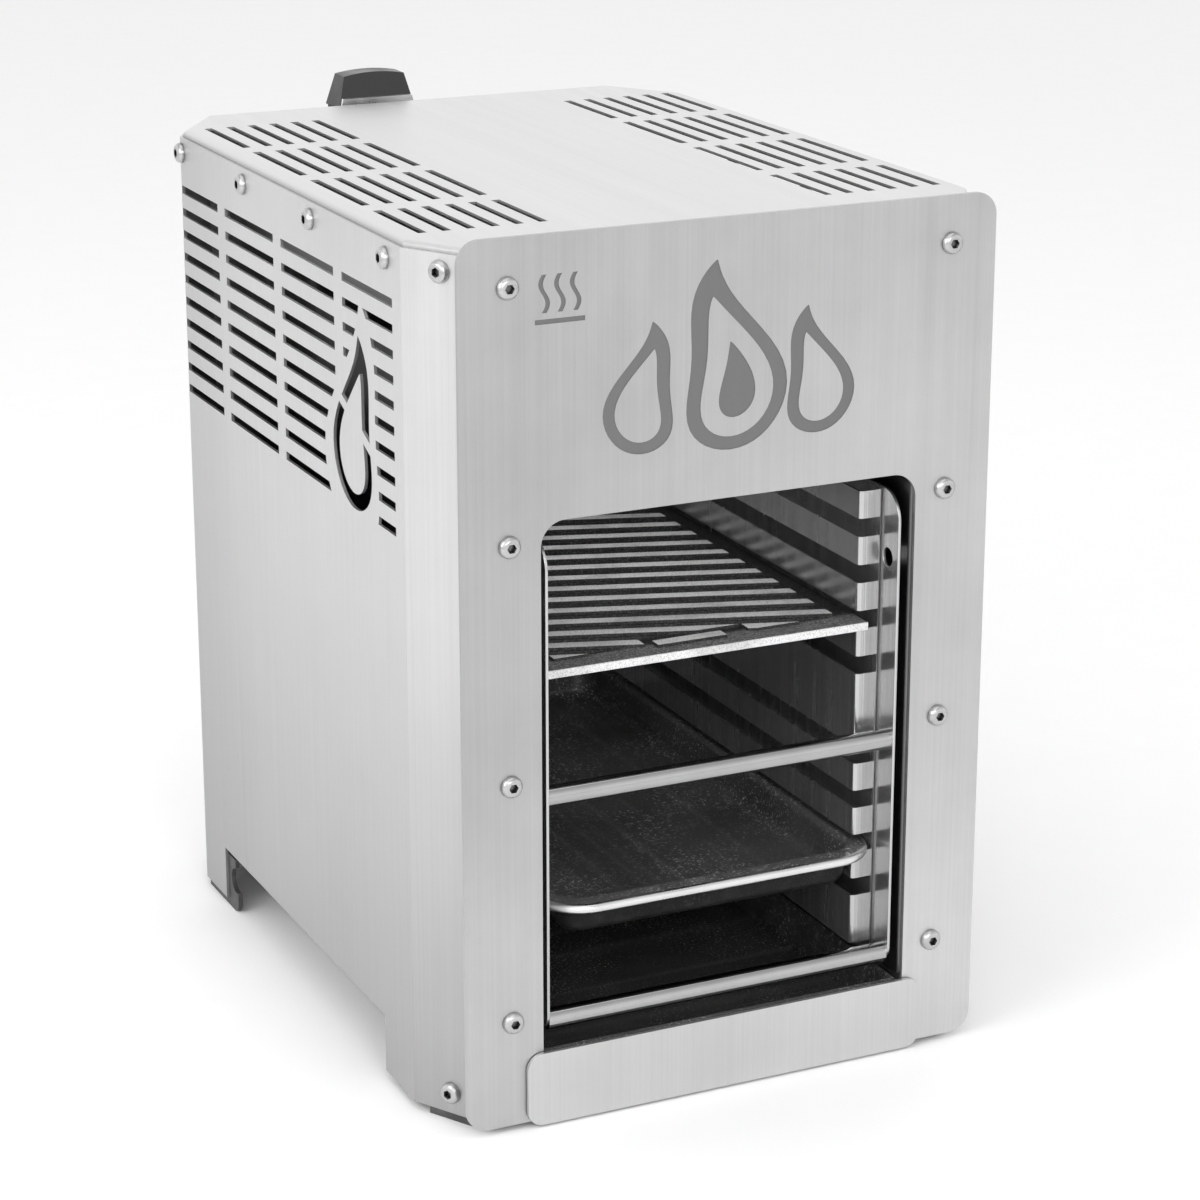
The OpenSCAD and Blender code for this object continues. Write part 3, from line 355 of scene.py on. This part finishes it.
PAN_RIM = polished("pan_rim", tone=0.72, rough=0.3, along="x")
PAN_INSIDE = baked_and_shaded_sheet("pan_inside", "y", tone=0.14, speck=0.85, streaks=0.3, metallic=0.45)
# painted shade: the underside of the pan's tub, which lies in shade, near black with little gloss
PAN_UNDERSIDE_SHADE = baked_and_shaded_sheet("pan_underside_painted_shade", "y", tone=0.012, speck=0.04, Specular_IOR_Level=0.12)
LOOKS = {
    brushed(
        "front_sheet", "z", tone=0.585, rough=0.36, clouds=0.085, metallic=0.85,
        # painted shade: the front plate darker towards the top and towards its left edge
        shade_fades=[(Z, 0.06, 0.2, 0.84), (X, 0.05, -0.13, 0.84)], marks=engraved,
    ): ["front_plate"],
    brushed(
        "side_sheet", "z", tone=0.612, rough=0.36, metallic=0.85,
        # painted shade: the side panels darker towards the bottom and towards the rear
        shade_fades=[(Z, 0.36, 0.02, 0.68), (Y, -0.02, 0.14, 0.86)],
    ): ["side_left", "side_right"],
    brushed(
        # painted shade: the lid's bent-down edges darker than its top
        "lid_sheet", "y", tone=0.64, rough=0.4, spread=0.03, clouds=0.02, metallic=0.8, fold_shade=0.72
    ): ["lid"],
    brushed("tray_face_sheet", "z", tone=0.585, rough=0.34, metallic=0.85): ["tray_front"],
    brushed("rear_sheet", "z", tone=0.56, rough=0.38): ["rear_panel", "control_box"],
    brushed("rack_sheet", "z", tone=0.55, rough=0.24, spread=0.24, line=0.3, metallic=0.88): [
        "rack_plate_left", "rack_plate_right", "rack_channel_left", "rack_channel_right",
        "rail_left", "rail_right",
    ],
    brushed("liner_sheet", "z", tone=0.17, rough=0.34, spread=0.08, clouds=0.04, line=0.3): [
        "liner_left", "liner_right", "liner_back", "heater_housing", "element_supports",
    ],
    brushed("plain_sheet", "y", tone=0.42, rough=0.42, spread=0.05, clouds=0.08): [
        "base_plate", "heat_shield", "shield_spacers", "reflector",
    ],
    polished("rod_steel", tone=0.43, rough=0.13, along="x"): ["rack_rods"],
    # painted shade by ambient occlusion in the screws' sockets and next to other parts
    polished("fastener_steel", tone=0.5, rough=0.28, along="z", shade_reach=0.0035): [
        "front_screws", "side_screws", "foot_screws", "rear_screws", "inlet_screws",
        "rivet_nuts", "tray_rivets", "shaft_nut", "regulator_shaft",
    ],
    polished("trim_steel", tone=0.88, rough=0.3, along="x"): ["knob_trim"],
    cast_iron("worn_cast_iron"): ["grate"],
    PAN_INSIDE: ["pan"],
    baked_and_shaded_sheet("tray_sheet", "x", tone=0.13, speck=0.9, streaks=0.4, metallic=0.4): ["drip_tray"],
    painted_black("foot_paint"): ["feet"],
    oxidised("element_sheath_metal"): ["heating_elements"],
    moulded("white_ceramic", tone=0.72, rough=0.7, tint=0.04): [
        "element_bushes", "insulation_board", "terminal_block",
    ],
    moulded("regulator_moulding", tone=0.6, rough=0.5, tint=0.1): ["heat_regulator"],
    moulded("black_moulding", tone=0.012, rough=0.36): ["knob", "power_inlet"],
    lens("red_lens"): ["pilot_lamp"],
    braided("glass_sleeve", tone=0.65, tint=0.05): ["element_leads"],
    braided("dark_sleeve", tone=0.1): ["supply_leads"],
}


def dress(names, look):
    """Puts one material in every slot of these nodes."""
    for name in names:
        slots = NODES[name].data.materials
        for i in range(len(slots)):
            slots[i] = look


for look, names in LOOKS.items():
    dress(names, look)


# ---- the pan: pressed sheet with a rolled rim ----


def new_object(name, mesh, looks):
    """Smooth object from a bmesh, with these materials."""
    data = bpy.data.meshes.new(name)
    mesh.to_mesh(data)
    mesh.free()
    for polygon in data.polygons:
        polygon.use_smooth = True
    for look in looks:
        data.materials.append(look)
    made = bpy.data.objects.new(name, data)
    bpy.context.scene.collection.objects.link(made)
    return made


def round_rectangle(half_x, half_y, radius, steps=10):
    """Points of a rectangle with round corners, anticlockwise, around the origin."""
    points = []
    for quarter in range(4):
        middle_x = (half_x - radius) * (1 if quarter in (0, 3) else -1)
        middle_y = (half_y - radius) * (1 if quarter in (0, 1) else -1)
        for i in range(steps + 1):
            angle = math.pi / 2 * (quarter + i / steps)
            points.append((middle_x + radius * math.cos(angle), middle_y + radius * math.sin(angle)))
    return points


def arc(middle, radius, start, end, steps=6):
    """Points of an arc in a section, angles in degrees."""
    angles = [math.radians(start + (end - start) * i / steps) for i in range(steps + 1)]
    return [(middle[0] + radius * math.cos(a), middle[1] + radius * math.sin(a)) for a in angles]


def pan_section(depth):
    """Distance in from the CAD pan's outline and height above its top, of the new upper side."""
    lip = 0.0024
    lip_drop = 0.001
    fold = 0.0028
    fold_drop = 0.0004
    floor_fold = 0.005
    wall = 0.0112
    slope = 0.001
    rim = arc((lip, -lip - lip_drop), lip, 225, 90, steps=8)
    shoulder = arc((wall - fold, -fold - fold_drop), fold, 90, 0)
    foot = arc((wall + floor_fold + slope, floor_fold - depth), floor_fold, 180, 270)
    return rim, shoulder + foot


def pan_piece():
    """Pressed sheet in place of the CAD pan and inside its box."""
    thickness = 0.0008
    corner = 0.024
    lo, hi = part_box("pan")
    middle = (lo + hi) / 2
    half = (hi - lo) / 2
    rim, inside = pan_section(hi.z - lo.z - thickness)
    mesh = bmesh.new()
    rings = []
    for inset, height in rim + inside:
        outline = round_rectangle(half.x - inset, half.y - inset, corner - inset)
        rings.append([mesh.verts.new((middle.x + x, middle.y + y, hi.z + height)) for x, y in outline])
    for k, (outer, inner) in enumerate(zip(rings, rings[1:])):
        for i in range(len(outer)):
            j = (i + 1) % len(outer)
            face = mesh.faces.new((outer[i], outer[j], inner[j], inner[i]))
            face.material_index = 0 if k < len(rim) - 1 else 1
    mesh.faces.new(rings[-1]).material_index = 1
    mesh.normal_update()
    piece = new_object("pan_sheet", mesh, [PAN_RIM, PAN_INSIDE, PAN_UNDERSIDE_SHADE])
    shell = piece.modifiers.new("sheet", "SOLIDIFY")
    shell.thickness = thickness
    shell.offset = -1
    # the underside takes the next material: the pan's inside under the rim, the painted shade under the
    # tub
    shell.material_offset = 1
    piece.modifiers.new("shading", "WEIGHTED_NORMAL")
    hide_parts("pan")
    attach(piece, "pan")


pan_piece()


# ---- eased edges of the CAD nodes ----


def ease(width, *names, segments=2):
    """Rounds the sharp edges of these nodes by modifiers."""
    for name in names:
        stack = NODES[name].modifiers
        stack.new("weld", "WELD").merge_threshold = 1e-6
        flat = stack.new("flat", "DECIMATE")
        flat.decimate_type = "DISSOLVE"
        flat.angle_limit = math.radians(0.3)
        bevel = stack.new("bevel", "BEVEL")
        bevel.width = width
        bevel.segments = segments
        bevel.limit_method = "ANGLE"
        bevel.angle_limit = math.radians(32)
        shading = stack.new("shading", "WEIGHTED_NORMAL")
        shading.weight = 100
        shading.keep_sharp = False


ease(0.0008, "grate")
ease(0.002, "knob", segments=4)
ease(0.0003, "tray_front", "rack_plate_left", "rack_plate_right")
ease(0.0006, "power_inlet", "terminal_block", "control_box")


# ---- floor, light and camera ----


def floor():
    """Wide sheet of white paper."""
    made = Finish("floor_paper", Roughness=0.85)
    tooth = made.noise(30, detail=3)
    made.link("Base Color", made.mix(tooth, grey(0.94), grey(0.97)))
    made.bump(tooth, 0.0002, 0.1)
    bpy.ops.mesh.primitive_plane_add(size=40)
    sheet = bpy.context.object
    sheet.name = "floor"
    sheet.data.materials.append(made.material)


def softbox(name, place, size, watts, aim, glossy=True):
    """Area light of this width and height, turned towards aim."""
    data = bpy.data.lights.new(name, "AREA")
    data.shape = "RECTANGLE"
    data.size, data.size_y = size
    data.energy = watts
    lamp = bpy.data.objects.new(name, data)
    lamp.location = place
    lamp.rotation_euler = (Vector(aim) - Vector(place)).to_track_quat("-Z", "Y").to_euler()
    lamp.visible_camera = False
    lamp.visible_glossy = glossy
    bpy.context.scene.collection.objects.link(lamp)


def dome():
    """White surroundings, brightest at the horizon and dimmer overhead."""
    horizon, zenith = 1.22, 0.66
    world = bpy.data.worlds.new("studio")
    world.use_nodes = True
    tree = world.node_tree
    height = component(tree, add(tree, "TexCoord").outputs["Generated"], Z)
    background = tree.nodes["Background"]
    background.inputs["Color"].default_value = grey(1)
    feed(tree, background.inputs["Strength"], ramp(tree, height, 0.3, 0.95, horizon, zenith))
    bpy.context.scene.world = world


def studio():
    """The dome, a soft box at the left, one above and one in front, and a small one in the cavity."""
    dome()
    softbox("left_box", (-1.2, -0.5, 0.9), (0.8, 0.8), watts=5, aim=(-0.1, -0.1, 0.4))
    softbox("top_box", (-0.3, -0.3, 2.4), (2.2, 2.2), watts=12, aim=(0, 0, 0.2))
    softbox("front_box", (-0.5, -1.9, 1.1), (1.2, 0.8), watts=9, aim=(0, -0.2, 0.1))
    below_reflector = (0, -0.07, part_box("reflector")[0].z - 0.012)
    softbox("cavity_fill", below_reflector, (0.14, 0.2), watts=0.12, aim=(0, -0.07, 0), glossy=False)
    bpy.context.scene.view_settings.view_transform = "Standard"


def camera():
    """Looks down from the front left, with a small lens shift."""
    azimuth, elevation = math.radians(25.22), math.radians(16.99)
    data = bpy.data.cameras.new("camera")
    data.sensor_width = 36
    data.lens = 99.75
    data.shift_y = -0.05
    eye = bpy.data.objects.new("camera", data)
    along = Vector(
        (
            math.sin(azimuth) * math.cos(elevation),
            math.cos(azimuth) * math.cos(elevation),
            -math.sin(elevation),
        )
    )
    eye.location = (-0.671, -1.499, 0.715)
    eye.rotation_mode = "QUATERNION"
    eye.rotation_quaternion = along.to_track_quat("-Z", "Y")
    bpy.context.scene.collection.objects.link(eye)
    bpy.context.scene.camera = eye


floor()
studio()
camera()
